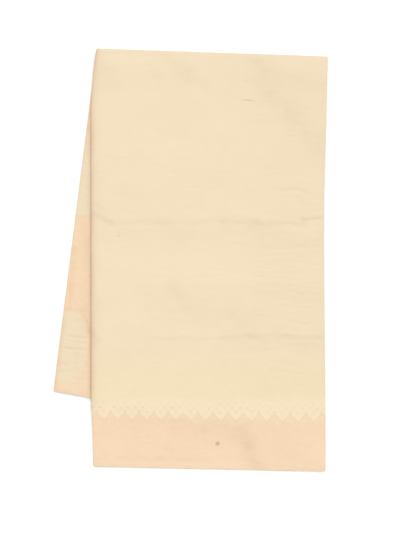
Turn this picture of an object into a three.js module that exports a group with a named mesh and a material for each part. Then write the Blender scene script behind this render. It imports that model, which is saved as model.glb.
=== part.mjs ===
// A silk sari, folded and laid flat. The cloth is one length of six yards by 45 inches. It is folded end
// to end four times into a strip of sixteen plies, and the strip is folded once more over itself, so that a
// long front fall covers a shorter back fall, which fans out to the left. Millimetres, +Z up, origin under
// the middle.
//
// The strip has its own coordinates: u runs across it from its left fold, v runs along it from the front
// hem, over the top roll to the back hem, and n runs through the stack from the pallu side to the field side.

import * as THREE from "three";

// Cloth
const PLIES = 16;
const PLY_PITCH = 0.3; // one pressed ply and the air over it
const STACK = PLIES * PLY_PITCH; // thickness of the folded strip
const STRIP = 343; // width of the folded strip, a sixteenth of six yards
const WALL = 1; // an outer wall, which stands for the plies next to it too
const SEAM = 0.3; // clearance between pieces
const BED_GAP = 0.45; // clearance between an outer wall and the inner plies

// Outline seen from above: the corners of the front fall, the top edge and the back fall
const TOP_LEFT = [-139.5, 312.5];
const TOP_RIGHT = [202.7, 300.7];
const FRONT_LEFT = [-144.2, -305.0];
const FRONT_RIGHT = [199.8, -312.5];
const BACK_LEFT = [-202.9, -193.7];
const BACK_RIGHT = [138.2, -236.2];
const FRONT_SIDE_X = -147.1; // the straight stretch of the front fall's left fold
const FRONT_TURN = { topY: 215, hemY: -200 }; // where that fold starts to turn inwards, up and down
const BACK_HEM_BOW = 7; // how far the back hem hangs lower at its middle
const WAIST = { depth: 4.5, y: 66, above: 150, below: 230 }; // where a storage crease draws the right side in

// Lengths along the strip
const FRONT_RUN = 612;
const ROLL_RUN = 18;
const BACK_RUN = 513;
const ROLL_START = FRONT_RUN;
const BACK_START = FRONT_RUN + ROLL_RUN;
const BACK_HEM = BACK_START + BACK_RUN; // 1143, the cloth's woven width
const ROLL_INNER = 0.9; // radius inside the top roll
const ROLL_OUTER = ROLL_INNER + STACK;
const NIP = 0.6; // air between the two falls away from the roll
const NIP_RUN = 60; // length over which the roll closes down to it
const FALL_RUN = 80; // length over which the front fall comes down to the ground past the back fall

// Woven bands
const BORDER = 77.9; // height of the contrast border at the front hem, to the middle of the temple teeth
const BORDER_RISE = 5.1; // how much higher the temple line stands over the hem at the right than at the left
const NARROW_BORDER = 16; // the border of the other long edge
const TOOTH = { first: 17.7, pitch: 22, drift: 0.096, count: 15, height: 13 };

// Creases across the front fall: each a soft trough between the low pillows of the top ply
const PILLOW = 0.9;
const PILLOW_EDGE = 26; // how far inside each edge the pillows start
const CREASES = [
  { u0: 0, v0: 362, u1: 343, v1: 366, width: 9, depth: 1.0 },
  { u0: 90, v0: 193, u1: 343, v1: 195, width: 9, depth: 0.9 },
  { u0: 232, v0: 590, u1: 343, v1: 480, width: 24, depth: 0.7 },
  { u0: 108, v0: 590, u1: 160, v1: 560, width: 18, depth: 0.6 },
  { u0: 108, v0: 262, u1: 155, v1: 214, width: 18, depth: 0.5 },
  { u0: 222, v0: 66, u1: 246, v1: 4, width: 13, depth: 0.9 },
];

const CREAM = 0xf4e1c1;
const PEACH = 0xf5d8b8;

const lerp = (a, b, t) => a + (b - a) * t;
const clamp01 = (t) => Math.min(1, Math.max(0, t));
const ease = (t) => 0.5 - 0.5 * Math.cos(Math.PI * clamp01(t));
const between = (p, q, t) => [lerp(p[0], q[0], t), lerp(p[1], q[1], t)];

// The roll's axis lies under the top edge, set in by the roll's outer radius.
const topEdge = new THREE.Vector2(TOP_RIGHT[0] - TOP_LEFT[0], TOP_RIGHT[1] - TOP_LEFT[1]).normalize();
const OUTWARD = [-topEdge.y, topEdge.x];
const axisEnd = (corner) => [corner[0] - OUTWARD[0] * ROLL_OUTER, corner[1] - OUTWARD[1] * ROLL_OUTER];
const AXIS_LEFT = axisEnd(TOP_LEFT);
const AXIS_RIGHT = axisEnd(TOP_RIGHT);

// The front fall's left fold: straight, with a turn inwards at the top corner and at the hem.
function frontLeft(t) {
  const y = lerp(FRONT_LEFT[1], AXIS_LEFT[1], t);
  const upper = clamp01((y - FRONT_TURN.topY) / (AXIS_LEFT[1] - FRONT_TURN.topY));
  const lower = clamp01((FRONT_TURN.hemY - y) / (FRONT_TURN.hemY - FRONT_LEFT[1]));
  const x =
    FRONT_SIDE_X +
    (AXIS_LEFT[0] - FRONT_SIDE_X) * upper ** 2 +
    (FRONT_LEFT[0] - FRONT_SIDE_X) * lower ** 1.5;
  return [x, y];
}

// The front fall's right side, drawn in at the waist.
function frontRight(t) {
  const [x, y] = between(FRONT_RIGHT, AXIS_RIGHT, t);
  const spread = y > WAIST.y ? WAIST.above : WAIST.below;
  return [x - WAIST.depth * Math.exp(-(((y - WAIST.y) / spread) ** 2)), y];
}

// How far a place lies outside the back fall, past its right side and past its hem, in shares of FALL_RUN.
function pastBack(x, y) {
  const down = (AXIS_RIGHT[1] - y) / (AXIS_RIGHT[1] - BACK_RIGHT[1]);
  const sideX = lerp(AXIS_RIGHT[0], BACK_RIGHT[0], down);
  const across = (x - BACK_LEFT[0]) / (BACK_RIGHT[0] - BACK_LEFT[0]);
  const hemY = lerp(BACK_LEFT[1], BACK_RIGHT[1], across);
  return [(x - sideX) / FALL_RUN, (hemY - y) / FALL_RUN];
}

// The height of what the front fall lies on: the back fall, or the ground past it.
function bed(x, y, v) {
  const [side, hem] = pastBack(x, y);
  const opening = ease((v - (ROLL_START - NIP_RUN)) / NIP_RUN);
  const top = STACK + lerp(NIP, 2 * ROLL_INNER, opening);
  return top * (1 - ease(side)) * (1 - ease(hem));
}

// A place of the strip, as a point.
function strip(u, v, n) {
  const across = u / STRIP;
  if (v < ROLL_START) {
    const t = v / FRONT_RUN;
    const [x, y] = between(frontLeft(t), frontRight(t), across);
    return new THREE.Vector3(x, y, bed(x, y, v) + n);
  }
  const [ax, ay] = between(AXIS_LEFT, AXIS_RIGHT, across);
  if (v < BACK_START) {
    const turn = (Math.PI * (v - ROLL_START)) / ROLL_RUN;
    const radius = ROLL_INNER + n;
    const out = radius * Math.sin(turn);
    const z = STACK + ROLL_INNER + radius * Math.cos(turn);
    return new THREE.Vector3(ax + OUTWARD[0] * out, ay + OUTWARD[1] * out, z);
  }
  const t = (v - BACK_START) / BACK_RUN;
  const [hx, hy] = between(BACK_LEFT, BACK_RIGHT, across);
  const bow = BACK_HEM_BOW * Math.sin(Math.PI * clamp01(across)) * t;
  return new THREE.Vector3(lerp(ax, hx, t), lerp(ay, hy, t) - bow, STACK - n);
}

// How deep the creases press the top ply at a place, from 0 to 1.
function creased(u, v) {
  let press = 0;
  for (const c of CREASES) {
    const du = c.u1 - c.u0;
    const dv = c.v1 - c.v0;
    const along = clamp01(((u - c.u0) * du + (v - c.v0) * dv) / (du * du + dv * dv));
    const away = Math.hypot(u - lerp(c.u0, c.u1, along), v - lerp(c.v0, c.v1, along));
    press = Math.max(press, c.depth * Math.exp(-((away / c.width) ** 2)));
  }
  return press;
}

// How far the top ply of the front fall stands off the plies under it.
function pillow(u, v) {
  const sides = ease(u / PILLOW_EDGE) * ease((STRIP - u) / PILLOW_EDGE);
  const ends = ease(v / PILLOW_EDGE) * ease((FRONT_RUN - v) / PILLOW_EDGE);
  return PILLOW * sides * ends * (1 - creased(u, v));
}

// The closed surface of a block of cells, cols by rows by layers, with each corner placed by a function.
function block(cols, rows, layers, place) {
  const positions = [];
  const index = [];
  const corners = new Map();
  const corner = (i, j, k) => {
    const key = (k * (rows + 1) + j) * (cols + 1) + i;
    if (!corners.has(key)) {
      corners.set(key, positions.length / 3);
      positions.push(...place(i, j, k).toArray());
    }
    return corners.get(key);
  };
  const quad = (a, b, c, d) => index.push(a, b, c, a, c, d);
  for (let i = 0; i < cols; i++) {
    for (let j = 0; j < rows; j++) {
      quad(corner(i, j, 0), corner(i, j + 1, 0), corner(i + 1, j + 1, 0), corner(i + 1, j, 0));
      const far = [corner(i, j, layers), corner(i + 1, j, layers)];
      quad(...far, corner(i + 1, j + 1, layers), corner(i, j + 1, layers));
    }
    for (let k = 0; k < layers; k++) {
      quad(corner(i, 0, k), corner(i + 1, 0, k), corner(i + 1, 0, k + 1), corner(i, 0, k + 1));
      quad(corner(i, rows, k), corner(i, rows, k + 1), corner(i + 1, rows, k + 1), corner(i + 1, rows, k));
    }
  }
  for (let j = 0; j < rows; j++) {
    for (let k = 0; k < layers; k++) {
      quad(corner(0, j, k), corner(0, j, k + 1), corner(0, j + 1, k + 1), corner(0, j + 1, k));
      quad(corner(cols, j, k), corner(cols, j + 1, k), corner(cols, j + 1, k + 1), corner(cols, j, k + 1));
    }
  }
  const geometry = new THREE.BufferGeometry();
  geometry.setAttribute("position", new THREE.Float32BufferAttribute(positions, 3));
  geometry.setIndex(index);
  geometry.computeVertexNormals();
  return geometry;
}

// Places across the strip where the temple teeth have their tips and valleys, from left to right.
const toothU = (k) => TOOTH.first + TOOTH.pitch * k + TOOTH.drift * k * (k - TOOTH.count + 1);
const FINE_ACROSS = [];
for (let half = -1; half < 2 * TOOTH.count; half++) FINE_ACROSS.push(toothU(half / 2));
const BEND_START = 255; // where the front fall starts to come down past the back fall
const PLAIN_ACROSS = [70, 135, 200, ...FINE_ACROSS.filter((u) => u > BEND_START)];

// One station of a wall's section: the outer and the inner point, both as [u, n].
const arcStation = (cu, cn, radius, degrees) => {
  const a = THREE.MathUtils.degToRad(degrees);
  const at = (r) => [cu + r * Math.cos(a), cn + r * Math.sin(a)];
  return { outer: at(radius), inner: at(radius - WALL) };
};
const FOLD_STEPS = 3;
const RIGHT_FOLD_END = -78; // degrees, where the field's wall stops short of the middle of the stack
// Half the seam between the two walls, as an angle that leaves SEAM at their inner sides
const LIP = THREE.MathUtils.radToDeg(Math.asin(SEAM / 2 / (STACK / 2 - WALL)));

// The field's wall: up from the left fold, across the top and round the right fold to mid-stack.
function fieldSection(across) {
  const half = STACK / 2;
  const quarter = STACK / 4;
  const stations = [];
  for (let k = 0; k <= FOLD_STEPS; k++) {
    stations.push(arcStation(half, half, half, lerp(180 - LIP, 90, k / FOLD_STEPS)));
  }
  for (const u of across) stations.push({ outer: [u, STACK], inner: [u, STACK - WALL] });
  for (let k = 0; k <= 2 * FOLD_STEPS; k++) {
    const degrees = lerp(90, RIGHT_FOLD_END, k / (2 * FOLD_STEPS));
    stations.push(arcStation(STRIP - quarter, 3 * quarter, quarter, degrees));
  }
  return stations;
}

// The pallu's wall: down from the left fold and across the bottom to the cut end.
const CUT_END_INSET = 1.5;
function palluSection(across) {
  const half = STACK / 2;
  const stations = [];
  for (let k = 0; k <= FOLD_STEPS; k++) {
    stations.push(arcStation(half, half, half, lerp(180 + LIP, 270, k / FOLD_STEPS)));
  }
  for (const u of [...across, STRIP - CUT_END_INSET]) stations.push({ outer: [u, 0], inner: [u, WALL] });
  return stations;
}

// A wall along the strip through rows of v. Its outer side is the block's last layer on the field and its
// first on the pallu, because n points from the pallu to the field. rowV gives a row's v at a place across,
// and raise a lift.
function wall(stations, rows, fieldSide, rowV, raise = () => 0) {
  return block(stations.length - 1, rows, 1, (i, j, k) => {
    const side = (k === 1) === fieldSide ? stations[i].outer : stations[i].inner;
    const [u, n] = side;
    const v = rowV(j, u);
    const point = strip(u, v, n);
    point.z += raise(u, v);
    return point;
  });
}

const rowsOf = (levels) => (j) => levels[j];
const steps = (from, to, count) => Array.from({ length: count + 1 }, (_, k) => lerp(from, to, k / count));

// The temple line, a zigzag whose teeth point at the hem: +1 at a valley, -1 at a tip.
function zigzag(u) {
  for (let k = -1; k < TOOTH.count + 1; k++) {
    const tip = toothU(k);
    const next = toothU(k + 1);
    if (u >= tip && u <= next) return 1 - Math.abs((2 * (u - tip)) / (next - tip) - 1) * 2;
  }
  return 0;
}

// How far the temple line stands above its middle height at a place across.
const templeLine = (u) => (TOOTH.height * zigzag(u)) / 2 + BORDER_RISE * (u / STRIP - 0.5);

// Rows that ease into the temple line, each with its share of the line's rise and fall.
const BORDER_LEVELS = steps(0, BORDER, 5);
const BORDER_SHARES = [0, 0, 0, 0, 0.4, 1];
const EASED_LEVEL = 92;
const CREASE_LEVELS = [176, 186, 194, 202, 212, 346, 356, 364, 372, 382];
const PILLOW_LEVELS = [98, 112, 126, 142, 160, 230, 250, 270, 292, 320];
PILLOW_LEVELS.push(402, 424, 448, 474, 500, 524, 546, 566, 586);
const FIELD_LEVELS = [BORDER, EASED_LEVEL, ...CREASE_LEVELS, ...PILLOW_LEVELS, ROLL_START - SEAM];
FIELD_LEVELS.sort((a, b) => a - b);
const FIELD_SHARES = FIELD_LEVELS.map((v) => (v === BORDER ? 1 : v === EASED_LEVEL ? 0.3 : 0));
const toothRow = (levels, shares, gap) => (j, u) =>
  levels[j] + shares[j] * templeLine(u) + (shares[j] === 1 ? gap : 0);
// The seam's width along the strip, which leaves SEAM square to the slanted sides of the teeth
const TEMPLE_SEAM = SEAM * Math.hypot(1, (2 * TOOTH.height) / TOOTH.pitch);

// The inner plies: one block bent round the roll, with the plies' folds down its right side and their edges
// at both hems.
const CORE_LOW = WALL + SEAM;
const CORE_HIGH = STACK - WALL - BED_GAP;
const CORE_LAYERS = 8;
const CORE_INSETS = [1.4, 0.5, 0.3, 1.0, 1.8, 1.8, 1.8, 1.8, 1.8]; // at the right, from the pallu side up
const HEM_STEPS = [1.3, 0, 1.6, 0.7, 1.9, 0.2, 1.5, 0.9, 1.7]; // how far each layer stops short of the hem
const CORE_ACROSS = [STACK / 2, ...PLAIN_ACROSS, STRIP];
const FRONT_ROWS = [...steps(0, 126, 9), 200, 280, 360, 440, 520, ROLL_START - NIP_RUN, 570, 590];
const CORE_ROWS = [...FRONT_ROWS, ...steps(ROLL_START, BACK_START, 8), 760, 950, BACK_HEM];

function innerPlies() {
  const cols = CORE_ACROSS.length - 1;
  const rows = CORE_ROWS.length - 1;
  return block(cols, rows, CORE_LAYERS, (i, j, k) => {
    const n = lerp(CORE_LOW, CORE_HIGH, k / CORE_LAYERS);
    const middle = (CORE_LOW + CORE_HIGH) / 2;
    const half = (CORE_HIGH - CORE_LOW) / 2;
    let u = CORE_ACROSS[i];
    if (i === 0) u -= Math.sqrt(Math.max(0, half ** 2 - (n - middle) ** 2));
    if (i === cols) u -= CORE_INSETS[k];
    let v = CORE_ROWS[j];
    if (j === 0) v += HEM_STEPS[k];
    if (j === rows) v -= HEM_STEPS[CORE_LAYERS - k];
    return strip(u, v, n);
  });
}

const silk = (color) => new THREE.MeshStandardMaterial({ color, roughness: 0.55, metalness: 0 });

function piece(name, geometry, color) {
  const mesh = new THREE.Mesh(geometry, silk(color));
  mesh.name = name;
  return mesh;
}

// The contrast border at the front hem, woven into the field along the temple line.
function frontBorder() {
  const rowV = toothRow(BORDER_LEVELS, BORDER_SHARES, -TEMPLE_SEAM / 2);
  return wall(fieldSection(FINE_ACROSS), BORDER_LEVELS.length - 1, true, rowV, pillow);
}

// The plain field of the front fall, from the temple line up to the roll.
function frontField() {
  const rowV = toothRow(FIELD_LEVELS, FIELD_SHARES, TEMPLE_SEAM / 2);
  return wall(fieldSection(FINE_ACROSS), FIELD_LEVELS.length - 1, true, rowV, pillow);
}

// The field where it rolls over the top.
function rollField() {
  return wall(fieldSection(PLAIN_ACROSS), 10, true, rowsOf(steps(ROLL_START, BACK_START, 10)));
}

// The field under the back fall, flat on the ground, and the narrow border of its edge.
function underField() {
  const levels = steps(BACK_START + SEAM, BACK_HEM - NARROW_BORDER, 3);
  return wall(fieldSection(PLAIN_ACROSS), 3, true, rowsOf(levels));
}

function underNarrowBorder() {
  const levels = [BACK_HEM - NARROW_BORDER + SEAM, BACK_HEM];
  return wall(fieldSection(PLAIN_ACROSS), 1, true, rowsOf(levels));
}

// The pallu under the front fall, which comes down to the ground past the back fall.
function underPallu() {
  const levels = [...FRONT_ROWS, ROLL_START - SEAM];
  return wall(palluSection(PLAIN_ACROSS), levels.length - 1, false, rowsOf(levels));
}

// The pallu on top of the back fall, from inside the roll to the narrow border. The part that shows is
// lifted a little, in folds across it.
const PALLU_ACROSS = [12, 24, 36, 48, 60, ...PLAIN_ACROSS.slice(1)];
const PALLU_RIPPLE = { lift: 0.5, wave: 34, reach: 52, start: 4, fade: 10, hemFade: 20 };
function backPallu() {
  const shown = steps(820, BACK_HEM - NARROW_BORDER, 24);
  const levels = [...steps(ROLL_START, BACK_START, 6), 700, 745, 790, ...shown];
  return wall(palluSection(PALLU_ACROSS), levels.length - 1, false, rowsOf(levels), palluLift);
}

// The front fall's left side crosses the back fall at a slant, so what shows of it widens down to the hem.
function palluLift(u, v) {
  const down = clamp01((v - BACK_START) / BACK_RUN);
  const shown = down * PALLU_RIPPLE.reach;
  const edge = ease((u - PALLU_RIPPLE.start) / PALLU_RIPPLE.fade) * ease((shown - u) / PALLU_RIPPLE.fade);
  const wave = 0.5 + 0.5 * Math.sin((2 * Math.PI * v) / PALLU_RIPPLE.wave);
  return PALLU_RIPPLE.lift * edge * wave * ease((BACK_HEM - NARROW_BORDER - v) / PALLU_RIPPLE.hemFade);
}

function backNarrowBorder() {
  const levels = [BACK_HEM - NARROW_BORDER + SEAM, BACK_HEM];
  return wall(palluSection(PALLU_ACROSS), 1, false, rowsOf(levels));
}

const sari = new THREE.Group();
sari.name = "folded_silk_sari";
sari.add(
  piece("front_field", frontField(), CREAM),
  piece("front_border", frontBorder(), PEACH),
  piece("roll_field", rollField(), CREAM),
  piece("under_field", underField(), CREAM),
  piece("under_narrow_border", underNarrowBorder(), PEACH),
  piece("back_pallu", backPallu(), PEACH),
  piece("back_narrow_border", backNarrowBorder(), PEACH),
  piece("under_pallu", underPallu(), PEACH),
  piece("inner_plies", innerPlies(), CREAM),
);

export default sari;
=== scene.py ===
import math
from collections import namedtuple

import bpy
import numpy as np
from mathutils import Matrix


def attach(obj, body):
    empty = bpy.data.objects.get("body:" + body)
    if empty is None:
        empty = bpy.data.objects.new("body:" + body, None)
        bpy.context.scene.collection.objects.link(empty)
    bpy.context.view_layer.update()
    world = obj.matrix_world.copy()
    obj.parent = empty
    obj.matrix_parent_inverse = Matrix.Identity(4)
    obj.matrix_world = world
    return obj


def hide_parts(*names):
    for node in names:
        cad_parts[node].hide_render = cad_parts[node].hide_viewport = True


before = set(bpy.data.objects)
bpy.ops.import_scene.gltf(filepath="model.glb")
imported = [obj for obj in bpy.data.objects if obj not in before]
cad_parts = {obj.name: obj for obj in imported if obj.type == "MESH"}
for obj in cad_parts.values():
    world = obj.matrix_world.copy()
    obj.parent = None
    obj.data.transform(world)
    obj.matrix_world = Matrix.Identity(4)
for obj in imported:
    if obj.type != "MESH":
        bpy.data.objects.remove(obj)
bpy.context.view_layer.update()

# A silk sari, folded to a strip of sixteen plies and laid over on itself. Lengths are in millimetres until a
# mesh is made. u runs across the strip from its left fold, v along it from the front hem over the top roll to
# the back hem, and n through the stack, from the pallu side to the field side.
MM = 0.001

# ---------------------------------------------------------------- the folded strip

PLIES = 16
PLY = 0.3
STACK = PLIES * PLY
STRIP = 343.0
SILK = 0.2
HIDDEN_SILK = 0.26  # the hidden plies lie pressed, almost without air between them
# How far the cut ends of the cloth lie inside the strip's right side
PALLU_CUT_INSET = 1.5
INNER_CUT_INSET = 2.4

TOP_LEFT = (-139.5, 312.5)
TOP_RIGHT = (202.7, 300.7)
FRONT_LEFT = (-144.2, -305.0)
FRONT_RIGHT = (199.8, -312.5)
BACK_LEFT = (-202.9, -193.7)
BACK_RIGHT = (138.2, -236.2)
FRONT_SIDE_X = -147.1
TOP_TURN_Y = 215.0
HEM_TURN_Y = -200.0
BACK_HEM_BOW = 7.0
WAIST_DEPTH = 4.5
WAIST_Y = 66.0
WAIST_ABOVE = 150.0
WAIST_BELOW = 230.0

FRONT_RUN = 612.0
ROLL_RUN = 18.0
BACK_RUN = 513.0
BACK_START = FRONT_RUN + ROLL_RUN
BACK_HEM = BACK_START + BACK_RUN
ROLL_INNER = 0.9
NIP = 0.6
NIP_RUN = 60.0
FALL_RUN = 80.0

BORDER = 77.9
BORDER_RISE = 5.1
NARROW_BORDER = 16.0
TEETH = 15
TOOTH_FIRST = 17.7
TOOTH_PITCH = 22.0
TOOTH_DRIFT = 0.096
TOOTH_HEIGHT = 13.0

PILLOW = 0.9
PILLOW_EDGE = 26.0

# Where the layers stand loosest: (x, y, how much thicker)
LOOSE_CORNERS = [(190.0, -300.0, 0.26), (-140.0, -290.0, 0.16), (-195.0, -190.0, 0.22), (60.0, -312.0, 0.10)]
LOOSE_ACROSS = 70.0
LOOSE_ALONG = 50.0
LOFT_RUN = 130.0  # from the roll down, over which the stack loosens


def ease(t):
    return 0.5 - 0.5 * np.cos(np.pi * np.clip(t, 0.0, 1.0))


def lerp(a, b, t):
    return a + (b - a) * t


def outward_of_top():
    """The unit vector that leads out of the top edge, in plan."""
    along = np.subtract(TOP_RIGHT, TOP_LEFT)
    along = along / np.hypot(*along)
    return np.array([-along[1], along[0]])


OUTWARD = outward_of_top()
AXIS_LEFT = np.array(TOP_LEFT) - OUTWARD * (ROLL_INNER + STACK)
AXIS_RIGHT = np.array(TOP_RIGHT) - OUTWARD * (ROLL_INNER + STACK)


def front_left(t):
    """The front fall's left fold, straight but for a turn inwards at the top corner and at the hem."""
    y = lerp(FRONT_LEFT[1], AXIS_LEFT[1], t)
    upper = np.clip((y - TOP_TURN_Y) / (AXIS_LEFT[1] - TOP_TURN_Y), 0.0, 1.0)
    lower = np.clip((HEM_TURN_Y - y) / (HEM_TURN_Y - FRONT_LEFT[1]), 0.0, 1.0)
    x = FRONT_SIDE_X + (AXIS_LEFT[0] - FRONT_SIDE_X) * upper**2 + (FRONT_LEFT[0] - FRONT_SIDE_X) * lower**0.6
    return x, y


def front_right(t):
    """The front fall's right side, drawn in where a storage crease crosses it."""
    x = lerp(FRONT_RIGHT[0], AXIS_RIGHT[0], t)
    y = lerp(FRONT_RIGHT[1], AXIS_RIGHT[1], t)
    spread = np.where(y > WAIST_Y, WAIST_ABOVE, WAIST_BELOW)
    return x - WAIST_DEPTH * np.exp(-(((y - WAIST_Y) / spread) ** 2)), y


def loft(x, y):
    """How many times its pressed thickness the stack has at a place: 1 at the roll, most at loose corners."""
    swell = np.sin(0.019 * x + 0.011 * y + 0.6) * np.sin(0.0143 * y - 0.007 * x + 1.1)
    loose = sum(
        puff * np.exp(-(((x - cx) / LOOSE_ACROSS) ** 2 + ((y - cy) / LOOSE_ALONG) ** 2))
        for cx, cy, puff in LOOSE_CORNERS
    )
    return 1.0 + (0.08 * swell + loose) * ease((AXIS_RIGHT[1] - y) / LOFT_RUN)


def bed(x, y, v):
    """The height of what the front fall lies on: the back fall, or the ground past it."""
    down = (AXIS_RIGHT[1] - y) / (AXIS_RIGHT[1] - BACK_RIGHT[1])
    side = (x - lerp(AXIS_RIGHT[0], BACK_RIGHT[0], down)) / FALL_RUN
    hem_y = lerp(BACK_LEFT[1], BACK_RIGHT[1], (x - BACK_LEFT[0]) / (BACK_RIGHT[0] - BACK_LEFT[0]))
    past_hem = (hem_y - y) / FALL_RUN
    opening = ease((v - (FRONT_RUN - NIP_RUN)) / NIP_RUN)
    top = STACK * loft(x, y) + lerp(NIP, 2 * ROLL_INNER, opening)
    return top * (1 - ease(side)) * (1 - ease(past_hem))


def strip(u, v, n):
    """A place of the folded strip, as points in millimetres."""
    u, v, n = np.broadcast_arrays(*(np.asarray(value, float) for value in (u, v, n)))
    across = u / STRIP
    t = np.clip(v / FRONT_RUN, -1.0, 1.0)
    (left_x, left_y), (right_x, right_y) = front_left(t), front_right(t)
    front_x, front_y = lerp(left_x, right_x, across), lerp(left_y, right_y, across)
    front_z = bed(front_x, front_y, v) + n * loft(front_x, front_y)

    axis_x = lerp(AXIS_LEFT[0], AXIS_RIGHT[0], across)
    axis_y = lerp(AXIS_LEFT[1], AXIS_RIGHT[1], across)
    turn = np.pi * (v - FRONT_RUN) / ROLL_RUN
    out = (ROLL_INNER + n) * np.sin(turn)
    roll_z = STACK + ROLL_INNER + (ROLL_INNER + n) * np.cos(turn)

    down = (v - BACK_START) / BACK_RUN
    bow = BACK_HEM_BOW * np.sin(np.pi * np.clip(across, 0.0, 1.0)) * down
    back_x = lerp(axis_x, lerp(BACK_LEFT[0], BACK_RIGHT[0], across), down)
    back_y = lerp(axis_y, lerp(BACK_LEFT[1], BACK_RIGHT[1], across), down) - bow

    front, roll = v < FRONT_RUN, v < BACK_START
    x = np.where(front, front_x, np.where(roll, axis_x + OUTWARD[0] * out, back_x))
    y = np.where(front, front_y, np.where(roll, axis_y + OUTWARD[1] * out, back_y))
    back_z = (STACK - n) * loft(back_x, back_y)
    z = np.where(front, front_z, np.where(roll, roll_z, back_z))
    return np.stack([x, y, z], axis=-1)


def tooth_u(k):
    """Where the temple line has the tip of tooth k; a half gives the valley after it."""
    return TOOTH_FIRST + TOOTH_PITCH * k + TOOTH_DRIFT * k * (k - TEETH + 1)


def tooth_index(u):
    """The inverse of tooth_u: a whole number at each tip."""
    k = np.arange(-2, TEETH + 3, 0.25)
    return np.interp(u, tooth_u(k), k)


def border_height(u):
    """The height of the contrast border at the middle of the teeth, which rises to the right."""
    return BORDER + BORDER_RISE * (u / STRIP - 0.5)


def temple_line(u):
    """How far the temple line stands above BORDER: lowest at a tip, which points at the hem."""
    share = np.mod(tooth_index(u), 1.0)
    zigzag = 1.0 - 2.0 * np.abs(2.0 * share - 1.0)
    return 0.5 * TOOTH_HEIGHT * zigzag + border_height(u) - BORDER


# ---------------------------------------------------------------- creases and wrinkles

# A soft trough, or a ridge where depth is negative, along a bowed line
Crease = namedtuple("Crease", "u0 v0 u1 v1 bow width depth")

STORAGE_CREASES = [
    Crease(2, 389, 22, 373, 1.5, 3.0, 0.60),
    Crease(1, 372, 31, 359, 1.0, 3.2, 0.70),
    Crease(22, 360, 172, 363, -1.5, 4.0, 0.34),
    Crease(150, 363, 262, 365, 1.5, 4.2, 0.42),
    Crease(232, 366, 322, 365, -1.5, 4.8, 0.55),
    Crease(302, 372, 343, 378, 1.0, 2.6, 0.60),
    Crease(192, 370, 236, 374, 0.5, 3.0, 0.26),
    Crease(82, 190, 232, 194, -1.0, 3.2, 0.26),
    Crease(212, 196, 296, 198, 0.8, 3.8, 0.50),
    Crease(280, 198, 343, 197, -0.8, 3.4, 0.40),
    Crease(262, 183, 330, 184, 1.2, 2.8, 0.22),
    Crease(228, 205, 288, 208, 0.6, 2.4, 0.18),
    Crease(256, 416, 308, 416, 0.8, 2.8, 0.26),
    Crease(300, 417, 343, 407, 1.2, 2.8, 0.30),
    Crease(322, 410, 342, 393, -1.0, 2.8, 0.24),
]

FAINT_CREASES = [
    Crease(9, 452, 67, 457, 1.0, 2.4, 0.16),
    Crease(55, 455, 116, 457, -0.8, 2.4, 0.16),
    Crease(30, 465, 62, 464, 0.6, 2.2, 0.10),
    Crease(106, 436, 162, 437, 0.6, 2.4, 0.16),
    Crease(152, 441, 200, 440, -0.6, 2.4, 0.15),
    Crease(136, 415, 214, 414, 1.4, 2.4, 0.12),
    Crease(262, 442, 309, 445, 0.6, 2.2, -0.13),
    Crease(184, 333, 229, 335, 0.8, 2.8, 0.20),
    Crease(302, 332, 342, 335, 0.6, 3.2, 0.24),
    Crease(248, 272, 303, 274, 0.8, 2.6, 0.18),
    Crease(290, 266, 321, 258, 1.0, 2.8, 0.22),
    Crease(78, 286, 195, 292, -1.4, 3.0, -0.16),
    Crease(158, 285, 240, 289, 0.8, 2.4, 0.14),
    Crease(275, 161, 302, 157, 0.5, 2.6, 0.16),
    Crease(262, 345, 342, 354, 1.0, 2.4, 0.12),
    Crease(250, 324, 336, 321, 1.0, 2.2, -0.10),
    Crease(276, 310, 342, 311, 0.6, 2.2, 0.11),
    Crease(250, 304, 310, 301, -0.6, 2.2, 0.10),
    Crease(276, 244, 338, 240, 0.8, 2.4, 0.12),
    Crease(231, 228, 274, 226, 0.5, 2.2, 0.11),
    Crease(290, 221, 338, 219, 0.6, 2.2, 0.12),
    Crease(256, 146, 309, 143, 0.6, 2.4, 0.12),
    Crease(281, 127, 335, 127, 0.8, 2.4, 0.10),
    Crease(60, 229, 122, 231, 1.0, 2.6, 0.09),
    Crease(12, 330, 74, 336, -1.2, 2.6, 0.10),
    Crease(10, 402, 50, 398, 1.0, 2.4, 0.11),
    Crease(8, 424, 70, 430, 1.0, 2.2, 0.09),
    Crease(84, 300, 84, 352, 2.0, 2.6, 0.08),
    Crease(118, 338, 102, 296, -1.4, 2.6, 0.10),
    Crease(6, 597, 23, 573, 1.4, 3.0, 0.16),
    Crease(25, 592, 39, 558, -1.4, 3.2, 0.18),
    Crease(16, 560, 40, 547, 1.0, 2.8, 0.13),
    Crease(46, 584, 62, 548, 1.2, 3.0, 0.12),
    Crease(70, 600, 96, 566, 2.0, 3.4, 0.12),
]

SOFT_HOLLOWS = [
    Crease(226, 612, 284, 528, 6.0, 13.0, 0.42),
    Crease(276, 536, 343, 480, -5.0, 14.0, 0.50),
    Crease(106, 606, 142, 578, 3.0, 12.0, 0.36),
    Crease(118, 272, 136, 240, 2.0, 11.0, 0.28),
    Crease(136, 228, 169, 202, 3.0, 12.0, 0.20),
    Crease(60, 176, 128, 166, 2.0, 10.0, 0.12),
]

BORDER_CREASES = [
    Crease(232, 88, 229, 46, -2.0, 8.0, 0.34),
    Crease(229, 52, 240, 2, 2.0, 7.0, 0.52),
    Crease(207, 80, 199, 44, 1.0, 7.0, 0.26),
    Crease(18, 15, 72, 17, 1.0, 4.5, 0.16),
    Crease(62, 14, 110, 12, -1.0, 4.5, 0.20),
    Crease(98, 18, 160, 9, 1.0, 4.8, 0.22),
    Crease(61, 60, 67, 22, 1.0, 5.0, 0.14),
    Crease(104, 29, 116, 24, 0.5, 3.6, 0.18),
    Crease(290, 40, 320, 34, 0.5, 4.0, 0.10),
]

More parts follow.
